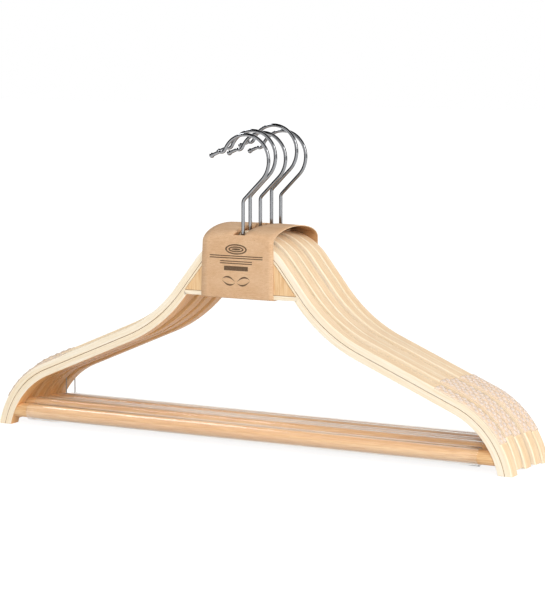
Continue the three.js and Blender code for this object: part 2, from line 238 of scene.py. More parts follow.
# The bent wood: each hanger is two plywood strips pressed round a form and glued on each other.
# The upper strip runs from foot to foot over the neck. The lower one forks at the neck into a thin
# ply that follows the upper strip and a straight ply that bridges the neck.
HANGERS = (1, 2, 3, 4, 5)
HANGER_WIDTH = 445
STRIP_DEPTH = 11
UPPER_THICKNESS = 5.5
LOWER_THICKNESS = 5.2
GLUE_LINE = 0.4
GLUE_RECESS = 0.35
NECK_RADIUS = 43
NECK_ANGLE = math.radians(51.7)
NECK_SLOPE_LENGTH = 30
THROAT_RADIUS = 121
SHOULDER_ANGLE = math.radians(22.9)
END_RADIUS = 66
END_ANGLE = math.radians(75)
END_LENGTH = 3
NECK_HEIGHT = 46.4
INNER_PLY = 1.8
BRIDGE_PLY = 3.3
EASED_EDGE = 0.35
ROUNDED_EDGE = 0.9
EDGE_STEPS = 3
ROUND_PROFILE = 0.5
VENEER_START = 40
RELIEF_DEPTH = 0.1
PLY = 0.88
PLY_SEAM = 0.16
SEAM_SHARE = 0.16
SHEET_ALONG = 1.31
SHEET_ACROSS = 0.017
EDGE_FLECKS = (34, 900, 1)
EDGE_CLOUDS = (9, 160, 1)
VENEER_STRETCHES = ((7, 260, 1), (70, 2600, 1))
PORE_DETAIL = 3
PORE_RELIEF = 0.25
GLUE_BEADS = (120, 900, 1)
BEND_SPACING = 1.8
STRAIGHT_SPACING = 8.0
END_MARGIN = 0.3
TOUCHING = 1e-6
HALVINGS = 60
WIRE_DIAMETER = 2.8
SHANK_CLEARANCE = 0.1
BAR_HEIGHT = 11.4
TENON_DIAMETER = 6
TENON_LENGTH = 4
FIT_GAP = 0.3
DRILL_SIDES = 24
DRILL_LEAD = 5
DRILL_REACH = 20
CUT_SLIVER = 0.004
FLAT_WEIGHT = 80
STRIP_SHARP = 50

foot_x = HANGER_WIDTH / 2 - UPPER_THICKNESS / math.sin(END_ANGLE)
bends_width = (
    (NECK_RADIUS + THROAT_RADIUS) * math.sin(NECK_ANGLE)
    + NECK_SLOPE_LENGTH * math.cos(NECK_ANGLE)
    - (THROAT_RADIUS + END_RADIUS) * math.sin(SHOULDER_ANGLE)
    + END_RADIUS * math.sin(END_ANGLE)
    + END_LENGTH * math.cos(END_ANGLE)
)
shoulder_length = (foot_x - bends_width) / math.cos(SHOULDER_ANGLE)
# Each run of the form: its length, the slope angle where it starts and ends, and its bend radius.
FORM_RUNS = (
    (NECK_RADIUS * NECK_ANGLE, 0.0, NECK_ANGLE, NECK_RADIUS),
    (NECK_SLOPE_LENGTH, NECK_ANGLE, NECK_ANGLE, None),
    (THROAT_RADIUS * (NECK_ANGLE - SHOULDER_ANGLE), NECK_ANGLE, SHOULDER_ANGLE, -THROAT_RADIUS),
    (shoulder_length, SHOULDER_ANGLE, SHOULDER_ANGLE, None),
    (END_RADIUS * (END_ANGLE - SHOULDER_ANGLE), SHOULDER_ANGLE, END_ANGLE, END_RADIUS),
    (END_LENGTH, END_ANGLE, END_ANGLE, None),
)
form_length = sum(run[0] for run in FORM_RUNS)


def form_drop(along):
    # Distance out from the crown, height below it and slope angle at a length along the glue line.
    x = 0.0
    z = 0.0
    angle = 0.0
    left = along
    for length, start, end, radius in FORM_RUNS:
        part = min(left, length)
        if radius is None:
            x += part * math.cos(start)
            z -= part * math.sin(start)
            angle = start
        else:
            angle = start + part / radius
            x += radius * (math.sin(angle) - math.sin(start))
            z += radius * (math.cos(angle) - math.cos(start))
        left -= part
        if left <= 0:
            break
    return x, z, angle


crown = -form_drop(form_length)[1]
neck_top = crown + UPPER_THICKNESS
bridge_bottom = neck_top - NECK_HEIGHT


def form_point(along, outwards):
    # A point beside the glue line, at a length from the crown and a distance outwards from the line.
    x, z, angle = form_drop(along)
    if along >= form_length - TOUCHING:
        return x + outwards / math.sin(angle), 0.0
    return x + outwards * math.sin(angle), z + crown + outwards * math.cos(angle)


def length_at_height(height, outwards):
    # The length along the glue line at which the line moved outwards comes down to a height.
    low = 0.0
    high = form_length
    for halving in range(HALVINGS):
        middle = (low + high) / 2
        if form_point(middle, outwards)[1] > height:
            low = middle
        else:
            high = middle
    return (low + high) / 2


def form_lengths(start, end):
    # Lengths along the glue line from start to end, close together in bends and wider on straights.
    marks = [start]
    reached = 0.0
    for length, _, _, radius in FORM_RUNS:
        spacing = STRAIGHT_SPACING if radius is None else BEND_SPACING
        count = max(1, math.ceil(length / spacing))
        for step in range(1, count + 1):
            mark = reached + length * step / count
            if start + END_MARGIN < mark < end - END_MARGIN:
                marks.append(mark)
        reached += length
    marks.append(end)
    return marks


def hanger_place(number):
    # Where a hanger stands: the middle of its width and depth, and the height of its feet.
    low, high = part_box(f"hanger{number}_upper_lamella")
    return Vector(((low.x + high.x) / 2, (low.y + high.y) / 2, low.z))


def sawn_strip(name, panels, half_depth, eased, outer=None):
    # A solid sawn from pressed ply. Each panel is a list of corners (x, z, along, across) in mm.
    # Faces to the front and back show the sawn plies, the others show the face veneer.
    # Where the outer face's place across the plies is given, its edges are sanded rounder.
    mesh = bpy.data.meshes.new(name)
    bm = bmesh.new()
    spots = {}
    grain_of = {}

    def corner(x, z, along, across):
        key = (round(x, 3), round(z, 3))
        if key not in spots:
            pair = []
            for y in (-half_depth, half_depth):
                vert = bm.verts.new((x * MM, y * MM, z * MM))
                grain_of[vert] = (along, across, y)
                pair.append(vert)
            spots[key] = pair
        return spots[key]

    border = {}
    for panel in panels:
        pairs = []
        for spot in panel:
            pair = corner(*spot)
            if not pairs or pair is not pairs[-1]:
                pairs.append(pair)
        if pairs[0] is pairs[-1]:
            pairs.pop()
        if len(pairs) < 3:
            continue
        bm.faces.new([pair[0] for pair in pairs])
        bm.faces.new([pair[1] for pair in reversed(pairs)])
        for here, there in zip(pairs, pairs[1:] + pairs[:1]):
            key = frozenset((id(here), id(there)))
            if key in border:
                border[key] = None
            else:
                border[key] = (here, there)
    rim = []
    outer_rim = []
    for sides in border.values():
        if sides is None:
            continue
        here, there = sides
        face = bm.faces.new((here[1], there[1], there[0], here[0]))
        face.material_index = 1
        outside = outer is not None and grain_of[here[0]][1] == outer == grain_of[there[0]][1]
        edges = outer_rim if outside else rim
        edges.append(bm.edges.get((here[0], there[0])))
        edges.append(bm.edges.get((here[1], there[1])))
    bmesh.ops.recalc_face_normals(bm, faces=bm.faces)
    grain = bm.loops.layers.uv.new("grain")
    for face in bm.faces:
        spots_here = [grain_of[loop.vert] for loop in face.loops]
        reach = max(spot[0] for spot in spots_here) - min(spot[0] for spot in spots_here)
        rise = max(spot[1] for spot in spots_here) - min(spot[1] for spot in spots_here)
        for loop, (along, across, y) in zip(face.loops, spots_here):
            if face.material_index == 0:
                loop[grain].uv = (along * MM, across * MM)
            elif reach >= rise:
                loop[grain].uv = (along * MM, (y + VENEER_START) * MM)
            else:
                loop[grain].uv = (across * MM, (y + VENEER_START) * MM)
    for edges, width in ((outer_rim, ROUNDED_EDGE), (rim, eased)):
        edges = [edge for edge in edges if edge.is_valid]
        if edges and width:
            bmesh.ops.bevel(
                bm, geom=edges, offset=width * MM, segments=EDGE_STEPS, profile=ROUND_PROFILE,
                affect="EDGES", clamp_overlap=True, material=0, loop_slide=True,
            )
    for face in bm.faces:
        face.smooth = True
    bm.to_mesh(mesh)
    bm.free()
    return mesh


def drill(piece, holes):
    # Drills round holes, each from one point to another with a diameter, all in mm, and clears
    # away the slivers that are narrower than a hair where a hole cuts along a seam.
    cutter_mesh = bpy.data.meshes.new("drill")
    bm = bmesh.new()
    for start, end, diameter in holes:
        start = Vector(start) * MM
        end = Vector(end) * MM
        turn = (end - start).to_track_quat("Z", "Y").to_matrix().to_4x4()
        turn.translation = (start + end) / 2
        bmesh.ops.create_cone(
            bm, cap_ends=True, segments=DRILL_SIDES, radius1=diameter * MM / 2,
            radius2=diameter * MM / 2, depth=(end - start).length, matrix=turn,
        )
    for face in bm.faces:
        face.material_index = 1
    bm.to_mesh(cutter_mesh)
    bm.free()
    cutter = link("drill", cutter_mesh)
    for filling in piece.data.materials:
        cutter_mesh.materials.append(filling)
    bore = piece.modifiers.new("bore", "BOOLEAN")
    bore.operation = "DIFFERENCE"
    bore.solver = "EXACT"
    bore.object = cutter
    bpy.context.view_layer.objects.active = piece
    bpy.ops.object.modifier_apply(modifier="bore")
    bm = bmesh.new()
    bm.from_mesh(piece.data)
    bmesh.ops.remove_doubles(bm, verts=bm.verts, dist=CUT_SLIVER * MM)
    bmesh.ops.dissolve_degenerate(bm, edges=bm.edges, dist=CUT_SLIVER * MM)
    bm.to_mesh(piece.data)
    bm.free()
    bpy.data.objects.remove(cutter, do_unlink=True)
    bpy.data.meshes.remove(cutter_mesh)


def flat_shading(piece, sharp_degrees):
    # Smooth bends, but flat faces stay flat up to their eased edges.
    piece.data.set_sharp_from_angle(angle=math.radians(sharp_degrees))
    weights = piece.modifiers.new("flat_faces", "WEIGHTED_NORMAL")
    weights.keep_sharp = True
    weights.weight = FLAT_WEIGHT


def new_finish(name):
    # A material to work on, with its main shader.
    finish = bpy.data.materials.new(name)
    finish.use_nodes = True
    return finish, finish.node_tree.nodes["Principled BSDF"]


def colour(hex_code):
    # A colour written as on a paint card, turned into the light values that shaders use, by the
    # usual screen curve.
    values = []
    for at in (0, 2, 4):
        share = int(hex_code[at:at + 2], 16) / 255
        values.append(share / 12.92 if share <= 0.04045 else ((share + 0.055) / 1.055) ** 2.4)
    return (*values, 1)


def tone_ramp(source, stops):
    # Colours at places along a source that runs from 0 to 1.
    ramp = source.id_data.nodes.new("ShaderNodeValToRGB")
    band = ramp.color_ramp
    while len(band.elements) < len(stops):
        band.elements.new(0.5)
    for element, (place, hex_code) in zip(band.elements, stops):
        element.position = place
        element.color = colour(hex_code)
    joined(source, ramp.inputs[0])
    return ramp.outputs[0]


def stretched_noise(source, stretch, detail, rough=0.55):
    # Noise pulled long by different scales on each axis, as wood grain and card fibres are.
    scale = source.id_data.nodes.new("ShaderNodeMapping")
    scale.inputs["Scale"].default_value = stretch
    joined(source, scale.inputs["Vector"])
    noise = source.id_data.nodes.new("ShaderNodeTexNoise")
    noise.inputs["Scale"].default_value = 1.0
    noise.inputs["Detail"].default_value = detail
    noise.inputs["Roughness"].default_value = rough
    joined(scale.outputs[0], noise.inputs["Vector"])
    return noise.outputs["Fac"]


def blended(mode, share, first, second):
    # A second colour laid over a first one by a share.
    mix = first.id_data.nodes.new("ShaderNodeMix")
    mix.data_type = "RGBA"
    mix.blend_type = mode
    if isinstance(share, float):
        mix.inputs["Factor"].default_value = share
    else:
        joined(share, mix.inputs["Factor"])
    joined(first, mix.inputs["A"])
    if isinstance(second, tuple):
        mix.inputs["B"].default_value = second
    else:
        joined(second, mix.inputs["B"])
    return mix.outputs["Result"]


def relief(shade, source, strength):
    # Shallow pores and fibres that are too fine for the mesh.
    bump = source.id_data.nodes.new("ShaderNodeBump")
    bump.inputs["Strength"].default_value = strength
    bump.inputs["Distance"].default_value = RELIEF_DEPTH * MM
    joined(source, bump.inputs["Height"])
    joined(bump.outputs[0], shade.inputs["Normal"])


def roughness_from(shade, source, low, high):
    # Dull and shinier places that follow a source.
    span = source.id_data.nodes.new("ShaderNodeMapRange")
    span.inputs["To Min"].default_value = low
    span.inputs["To Max"].default_value = high
    joined(source, span.inputs["Value"])
    joined(span.outputs[0], shade.inputs["Roughness"])


def grain_source(finish):
    # Places along and across the grain, in metres.
    source = finish.node_tree.nodes.new("ShaderNodeUVMap")
    source.uv_map = "grain"
    return source.outputs[0]


def spot_source(finish):
    # Places on the piece itself, in metres.
    return finish.node_tree.nodes.new("ShaderNodeTexCoord").outputs["Object"]


def mottled(name, source_of, stretch, detail, tones, dullness, bumps=0.0, settings=None):
    # A finish whose colour and shine follow one pattern, with other settings of its shader.
    finish, shade = new_finish(name)
    pattern = stretched_noise(source_of(finish), stretch, detail)
    joined(tone_ramp(pattern, tones), shade.inputs["Base Color"])
    roughness_from(shade, pattern, *dullness)
    if bumps:
        relief(shade, pattern, bumps)
    for setting, value in (settings or {}).items():
        shade.inputs[setting].default_value = value
    return finish


def wood(name, source_of, stretches, detail, tones, pore_tones, pore_share, dullness):
    # Wood with a long figure and fine darker pores.
    finish, shade = new_finish(name)
    source = source_of(finish)
    figure = stretched_noise(source, stretches[0], detail)
    pores = stretched_noise(source, stretches[1], PORE_DETAIL)
    tan = blended("MULTIPLY", pore_share, tone_ramp(figure, tones), tone_ramp(pores, pore_tones))
    joined(tan, shade.inputs["Base Color"])
    roughness_from(shade, figure, *dullness)
    relief(shade, pores, PORE_RELIEF)
    return finish


def sawn_edge(name, tones):
    # Sawn and sanded plies, seen on the front and back of the strips.
    finish, shade = new_finish(name)
    source = grain_source(finish)
    flecks = stretched_noise(source, EDGE_FLECKS, 4)
    clouds = stretched_noise(source, EDGE_CLOUDS, 2)
    cream = tone_ramp(flecks, ((0.30, tones[0]), (0.52, tones[1]), (0.75, tones[2])))
    warm = tone_ramp(clouds, ((0.35, "F8ECD8"), (0.65, "FFFFFF")))
    cream = blended("MULTIPLY", 0.55, cream, warm)
    split = finish.node_tree.nodes.new("ShaderNodeSeparateXYZ")
    joined(source, split.inputs[0])
    plies = combined("PINGPONG", split.outputs["Y"], PLY * MM)
    seam = finish.node_tree.nodes.new("ShaderNodeMapRange")
    seam.inputs["From Min"].default_value = 0.0
    seam.inputs["From Max"].default_value = PLY_SEAM * MM
    seam.inputs["To Min"].default_value = SEAM_SHARE
    seam.inputs["To Max"].default_value = 0.0
    joined(plies, seam.inputs["Value"])
    cream = blended("MIX", seam.outputs[0], cream, colour("D6B583"))
    joined(cream, shade.inputs["Base Color"])
    roughness_from(shade, flecks, 0.48, 0.66)
    relief(shade, flecks, 0.22)
    return finish


# The front hanger's plies are paler than those of the hangers behind it. The rear hangers' lower
# strips carry painted shade on their sawn edges, warmer and darker like the shaded undersides.
pale_edge = sawn_edge("pale_ply_edge", ("F6E8CE", "FCF2DF", "FFF9EC"))
tan_edge = sawn_edge("tan_ply_edge", ("F8E8CC", "FDF0DA", "FFF7E8"))
shaded_lower_edge = sawn_edge("painted_shade_ply_edge", ("E2B47C", "ECC28E", "F4D0A2"))
# The face veneers, with their grain along the bend, and the pressed glue between the strips.
veneer_pores = ((0.36, "D6B084"), (0.56, "FFFFFF"))
veneer = wood(
    "face_veneer", grain_source, VENEER_STRETCHES, 5,
    ((0.28, "F0D3A9"), (0.50, "F8DFBB"), (0.74, "FDE9CC")), veneer_pores, 0.4, (0.40, 0.56),
)
# The lower strips' veneer is painted shade: warmer and darker, for the shade under the arms.
painted_shade_veneer = wood(
    "painted_shade_veneer", grain_source, VENEER_STRETCHES, 5,
    ((0.28, "E6AE6C"), (0.50, "F0BD80"), (0.74, "F6CC98")), veneer_pores, 0.4, (0.40, 0.56),
)
glue_brown = mottled(
    "pressed_glue", grain_source, GLUE_BEADS, 3, ((0.3, "6E4A22"), (0.7, "94693A")), (0.5, 0.7)
)


def along_strip(start, end, inner, outer):
    # Panels of a strip between two distances from the glue line, on both halves of the hanger.
    panels = []
    marks = form_lengths(start, end)
    for here, there in zip(marks, marks[1:]):
        for side in (1, -1):
            corners = []
            for along, outwards in ((here, inner), (there, inner), (there, outer), (here, outer)):
                x, z = form_point(along, outwards)
                corners.append((side * x, z, side * along, outwards))
            panels.append(corners)
    return panels


def moved_grain(mesh, number):
    # Each hanger's strips come from another sheet, so each takes its own stretch of the grain.
    for loop_uv in mesh.uv_layers["grain"].data:
        along, across = loop_uv.uv
        loop_uv.uv = (along + SHEET_ALONG * number, across + SHEET_ACROSS * number)


half_glue = GLUE_LINE / 2
upper_panels = along_strip(0.0, form_length, half_glue, UPPER_THICKNESS)
glue_panels = along_strip(0.0, form_length, -half_glue, half_glue)
window_floor = bridge_bottom + BRIDGE_PLY
window_mark = length_at_height(window_floor, -INNER_PLY)
bridge_mark = length_at_height(bridge_bottom, -LOWER_THICKNESS)
lower_panels = along_strip(0.0, window_mark, -half_glue, -INNER_PLY)
lower_panels += along_strip(bridge_mark, form_length, -half_glue, -LOWER_THICKNESS)
window_x = form_point(window_mark, -INNER_PLY)[0]
BRIDGE_STEPS = 8
for side in (1, -1):
    for step in range(BRIDGE_STEPS):
        x0 = side * window_x * step / BRIDGE_STEPS
        x1 = side * window_x * (step + 1) / BRIDGE_STEPS
        lower_panels.append([
            (x0, bridge_bottom, x0, -LOWER_THICKNESS),
            (x1, bridge_bottom, x1, -LOWER_THICKNESS),
            (x1, window_floor, x1, -INNER_PLY),
            (x0, window_floor, x0, -INNER_PLY),
        ])
    fork = []
    for along, outwards in (
        (window_mark, -INNER_PLY), (window_mark, -half_glue), (bridge_mark, -half_glue),
        (bridge_mark, -LOWER_THICKNESS),
    ):
        x, z = form_point(along, outwards)
        fork.append((side * x, z, side * along, outwards))
    fork.append((side * window_x, bridge_bottom, side * window_x, -LOWER_THICKNESS))
    lower_panels.append(fork)

bay_half = form_point(length_at_height(BAR_HEIGHT, -LOWER_THICKNESS), -LOWER_THICKNESS)[0]
tenon_end = bay_half + TENON_LENGTH + FIT_GAP
# Each bore: where the drill starts, where it stops, and its diameter.
shank_bore = (
    (0, 0, neck_top + DRILL_LEAD), (0, 0, crown - DRILL_REACH), WIRE_DIAMETER + 2 * SHANK_CLEARANCE
)
tenon_bores = []
for side in (1, -1):
    tenon_bores.append((
        (side * (bay_half - DRILL_REACH), 0, BAR_HEIGHT), (side * tenon_end, 0, BAR_HEIGHT),
        TENON_DIAMETER + 2 * FIT_GAP,
    ))
for number in HANGERS:
    place = hanger_place(number)
    upper = link(
        f"hanger{number}_upper_strip",
        sawn_strip(
            f"hanger{number}_upper_strip", upper_panels, STRIP_DEPTH / 2, EASED_EDGE, UPPER_THICKNESS
        ),
    )
    lower = link(
        f"hanger{number}_lower_strip",
        sawn_strip(f"hanger{number}_lower_strip", lower_panels, STRIP_DEPTH / 2, EASED_EDGE),
    )
    film = link(
        f"hanger{number}_glue_film",
        sawn_strip(f"hanger{number}_glue_film", glue_panels, STRIP_DEPTH / 2 - GLUE_RECESS, 0),
    )
    upper.data.materials.append(pale_edge if number == 1 else tan_edge)
    upper.data.materials.append(veneer)
    # Painted shade on the lower strips: the rear hangers' sawn edges and every strip's veneer.
    lower.data.materials.append(pale_edge if number == 1 else shaded_lower_edge)
    lower.data.materials.append(painted_shade_veneer)
    film.data.materials.append(glue_brown)
    film.data.materials.append(glue_brown)
    for strip in (upper, lower, film):
        moved_grain(strip.data, number)
    drill(upper, [shank_bore])
    drill(lower, [shank_bore, *tenon_bores])
    drill(film, [shank_bore])
    for strip in (upper, lower, film):
        strip.location = place
        flat_shading(strip, STRIP_SHARP)
        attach(strip, "pack")
    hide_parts(f"hanger{number}_upper_lamella")
    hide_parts(f"hanger{number}_lower_lamella")

# The neck blocks: a piece of tan wood, its grain upright, glued into the window between the plies.
# The solid from the frame has the right shape, with its bore for the hook's bush, so it stays.
NECK_STRETCHES = ((700, 300, 14), (2400, 1600, 90))
neck_wood = wood(
    "upright_neck_wood", spot_source, NECK_STRETCHES, 4,
    ((0.25, "E8C18E"), (0.52, "F0CD9E"), (0.78, "F5D7AD")), ((0.34, "D9AE7C"), (0.56, "FFFFFF")),
    0.5, (0.5, 0.65),
)
for number in HANGERS:
    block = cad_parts[f"hanger{number}_neck_block"]
    block.data.materials.clear()
    block.data.materials.append(neck_wood)

# The trouser bars: turned beech dowels whose shoulders are scribed to the arms, with a tenon at
# each end that is glued into a hole in the arm.
BAR_DIAMETER = 11
BAR_SIDES = 48
BAR_RINGS = 24
TENON_CHAMFER = 0.5
BAR_END = 8
BAR_SHARP = 40
BAR_STRETCHES = ((5, 190, 1), (55, 2200, 1))
bar_wood = wood(
    "turned_bar_wood", grain_source, BAR_STRETCHES, 5,
    ((0.28, "DDAE78"), (0.50, "EBC08B"), (0.74, "F8D6A4")), ((0.36, "CE9F6B"), (0.58, "FFFFFF")),
    0.55, (0.34, 0.5),
)


def arm_face(height):
    # Where the bar's shoulder stands at a height, a fit gap inside the arm's inner face.
    inside = -LOWER_THICKNESS - FIT_GAP
    return form_point(length_at_height(height, inside), inside)[0]


def turned_mesh(name, rings, sides, closed):
    # A round piece along X. Each ring has a radius and a rule that gives its x at a height.
    mesh = bpy.data.meshes.new(name)
    bm = bmesh.new()
    grain = bm.loops.layers.uv.new("grain")
    rows = []
    for x_at, radius in rings:
        row = []
        for side in range(sides):
            turn = 2 * math.pi * side / sides
            up = radius * math.sin(turn)
            row.append(bm.verts.new((x_at(up) * MM, radius * math.cos(turn) * MM, up * MM)))
        rows.append(row)
    pairs = list(zip(rows, rows[1:]))
    if closed:
        pairs.append((rows[-1], rows[0]))
    for here, there in pairs:
        for side in range(sides):
            after = (side + 1) % sides
            face = bm.faces.new((here[side], here[after], there[after], there[side]))
            face.smooth = True
            for loop, step in zip(face.loops, (side, side + 1, side + 1, side)):
                around = step * math.pi * BAR_DIAMETER / sides
                loop[grain].uv = (loop.vert.co.x, around * MM)
    if not closed:
        for row in (rows[0], rows[-1]):
            face = bm.faces.new(row)
            for loop in face.loops:
                loop[grain].uv = (loop.vert.co.y, loop.vert.co.z)
    bmesh.ops.recalc_face_normals(bm, faces=bm.faces)
    bm.to_mesh(mesh)
    bm.free()
    return mesh


def fixed_x(x):
    # A ring cut square.
    return lambda up: x


def scribed_x(side):
    # A ring cut to the bend of the arm.
    return lambda up: side * arm_face(BAR_HEIGHT + up)


bar_rings = [
    (fixed_x(-bay_half - TENON_LENGTH), TENON_DIAMETER / 2 - TENON_CHAMFER),
    (fixed_x(-bay_half - TENON_LENGTH + TENON_CHAMFER), TENON_DIAMETER / 2),
    (scribed_x(-1), TENON_DIAMETER / 2),
    (scribed_x(-1), BAR_DIAMETER / 2),
]
body_half = arm_face(BAR_HEIGHT - BAR_DIAMETER / 2) - BAR_END
for step in range(BAR_RINGS + 1):
    bar_rings.append((fixed_x(body_half * (2 * step / BAR_RINGS - 1)), BAR_DIAMETER / 2))
bar_rings += [
    (scribed_x(1), BAR_DIAMETER / 2),
    (scribed_x(1), TENON_DIAMETER / 2),
    (fixed_x(bay_half + TENON_LENGTH - TENON_CHAMFER), TENON_DIAMETER / 2),
    (fixed_x(bay_half + TENON_LENGTH), TENON_DIAMETER / 2 - TENON_CHAMFER),
]
for number in HANGERS:
    mesh = turned_mesh(f"hanger{number}_trouser_bar", bar_rings, BAR_SIDES, False)
    mesh.materials.append(bar_wood)
    moved_grain(mesh, number)
    bar = link(f"hanger{number}_trouser_bar", mesh)
    bar.location = hanger_place(number) + Vector((0, 0, BAR_HEIGHT * MM))
    flat_shading(bar, BAR_SHARP)
    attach(bar, "pack")
    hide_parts(f"hanger{number}_bar")

# The tubes on the bars: a clear soft plastic tube pulled over the dowel so that trousers don't
# slide off. It stops short of the arms, so a little bare wood shows at both ends.
TUBE_WALL = 1.2
TUBE_SETBACK = 12
TUBE_SIDES = 64
TUBE_RINGS = 24
TUBE_LIP = 0.35
TUBE_HAZE = (14, 120, 1)
clear_plastic, shade = new_finish("clear_soft_plastic")
haze = stretched_noise(grain_source(clear_plastic), TUBE_HAZE, 3)
shade.inputs["Base Color"].default_value = colour("FFFDF9")
shade.inputs["Transmission Weight"].default_value = 0.95
shade.inputs["IOR"].default_value = 1.02
shade.inputs["Coat Weight"].default_value = 1.0
shade.inputs["Coat Roughness"].default_value = 0.05
shade.inputs["Coat IOR"].default_value = 1.5
roughness_from(shade, haze, 0.05, 0.13)
relief(shade, haze, 0.1)
tube_half = bay_half - TUBE_SETBACK
tube_inner = BAR_DIAMETER / 2 + FIT_GAP
tube_outer = tube_inner + TUBE_WALL
tube_rings = [
    (fixed_x(-tube_half + TUBE_LIP), tube_inner),
    (fixed_x(-tube_half), tube_inner + TUBE_LIP),
    (fixed_x(-tube_half), tube_outer - TUBE_LIP),
    (fixed_x(-tube_half + TUBE_LIP), tube_outer),
]
for step in range(1, TUBE_RINGS):
    tube_rings.append((fixed_x(tube_half * (2 * step / TUBE_RINGS - 1)), tube_outer))
tube_rings += [
    (fixed_x(tube_half - TUBE_LIP), tube_outer),
    (fixed_x(tube_half), tube_outer - TUBE_LIP),
    (fixed_x(tube_half), tube_inner + TUBE_LIP),
    (fixed_x(tube_half - TUBE_LIP), tube_inner),
]
for number in HANGERS:
    mesh = turned_mesh(f"hanger{number}_clear_tube", tube_rings, TUBE_SIDES, True)
    mesh.materials.append(clear_plastic)
    moved_grain(mesh, number)
    tube = link(f"hanger{number}_clear_tube", mesh)
    tube.location = hanger_place(number) + Vector((0, 0, BAR_HEIGHT * MM))
    tube.visible_shadow = False
    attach(tube, "pack")
    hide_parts(f"hanger{number}_bar_tube")

# The shoulder grips: a milky soft strip stuck on the end of each shoulder, moulded with staggered
# rows of round nubs that keep a garment's shoulder from slipping.
GRIP_START = 21.5
GRIP_LENGTH = 62
GRIP_HALF_WIDTH = 5.45
GRIP_FILM = 0.55
GRIP_WRAP = 0.85
GRIP_ROUNDING = 0.6
ROUNDING_SHARE = 0.3
GRIP_SINK = 0.04
GRIP_SHARP = 50
NUB_RADIUS = 1.65
NUB_HEIGHT = 0.75
NUB_PITCH = 6.4
NUB_ROWS = (-3.2, 0.0, 3.2)
NUB_SIDES = 14
NUB_RINGS = 4
NUB_MARGIN = 0.5
NUB_SINK = 0.05
GRIP_CLOUD = (300, 300, 300)
milky_nubs = mottled(
    "milky_soft_nubs", spot_source, GRIP_CLOUD, 3, ((0.3, "DED3CC"), (0.7, "E7DDD7")), (0.28, 0.42),
    bumps=0.1, settings={"Transmission Weight": 0.2, "IOR": 1.06},
)
clear_film = mottled(
    "clear_grip_film", spot_source, GRIP_CLOUD, 3, ((0.3, "E3D5C5"), (0.7, "EADED1")), (0.15, 0.3),
    settings={"Transmission Weight": 0.35, "IOR": 1.03},
)


def join_rings(bm, rings):
    # Faces all round between each ring of points and the next.
    for here, there in zip(rings, rings[1:]):
        for at in range(len(here)):
            after = (at + 1) % len(here)
            bm.faces.new((here[at], here[after], there[after], there[at]))


def grip_mesh(name, side):
    # The film lies on the shoulder and wraps over its rounded edges. The nubs stand on the film.
    mesh = bpy.data.meshes.new(name)
    bm = bmesh.new()
    seat = UPPER_THICKNESS
    top = seat + GRIP_FILM
    start = form_length - GRIP_START - GRIP_LENGTH
    end = form_length - GRIP_START
    marks = form_lengths(start, end)
    flat_half = STRIP_DEPTH / 2 - ROUNDED_EDGE
    bulge = GRIP_ROUNDING * ROUNDING_SHARE
    half_section = (
        (flat_half, seat - GRIP_SINK),
        (GRIP_HALF_WIDTH, seat - GRIP_WRAP),
        (GRIP_HALF_WIDTH, top - GRIP_ROUNDING),
        (GRIP_HALF_WIDTH - bulge, top - bulge),
        (GRIP_HALF_WIDTH - GRIP_ROUNDING, top),
    )
    section = half_section + tuple((-y, outwards) for y, outwards in reversed(half_section))
    rows = []
    for along in marks:
        row = []
        for y, outwards in section:
            x, z = form_point(along, outwards)
            row.append(bm.verts.new((side * x * MM, y * MM, z * MM)))
        rows.append(row)
    join_rings(bm, rows)
    bm.faces.new(rows[0])
    bm.faces.new(rows[-1])
    film_faces = set(bm.faces)
    columns = int((GRIP_LENGTH - 2 * NUB_RADIUS - 2 * NUB_MARGIN) / (NUB_PITCH / 2))
    for column in range(columns + 1):
        along = start + NUB_RADIUS + NUB_MARGIN + column * NUB_PITCH / 2
        across = NUB_ROWS[::2] if column % 2 == 0 else NUB_ROWS[1:2]
        for y in across:
            rings = []
            for ring in range(NUB_RINGS):
                lean = math.pi / 2 * ring / NUB_RINGS
                radius = NUB_RADIUS * math.cos(lean)
                height = top - NUB_SINK + NUB_HEIGHT * math.sin(lean)
                row = []
                for step in range(NUB_SIDES):
                    turn = 2 * math.pi * step / NUB_SIDES
                    x, z = form_point(along + radius * math.cos(turn), height)
                    row.append(bm.verts.new((side * x * MM, (y + radius * math.sin(turn)) * MM, z * MM)))
                rings.append(row)
            x, z = form_point(along, top - NUB_SINK + NUB_HEIGHT)
            tip = bm.verts.new((side * x * MM, y * MM, z * MM))
            join_rings(bm, rings)
            for at in range(NUB_SIDES):
                bm.faces.new((rings[-1][at], rings[-1][(at + 1) % NUB_SIDES], tip))
            bm.faces.new(rings[0])
    for face in bm.faces:
        face.smooth = True
        face.material_index = 0 if face in film_faces else 1
    bmesh.ops.recalc_face_normals(bm, faces=bm.faces)
    bm.to_mesh(mesh)
    bm.free()
    mesh.set_sharp_from_angle(angle=math.radians(GRIP_SHARP))
    return mesh


for number in HANGERS:
    for side, word in ((-1, "left"), (1, "right")):
        mesh = grip_mesh(f"hanger{number}_nub_grip_{word}", side)
        mesh.materials.append(clear_film)
        mesh.materials.append(milky_nubs)
        grip = link(f"hanger{number}_nub_grip_{word}", mesh)
        grip.location = hanger_place(number)
        grip.visible_shadow = False
        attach(grip, "pack")
        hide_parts(f"hanger{number}_grip_{word}")

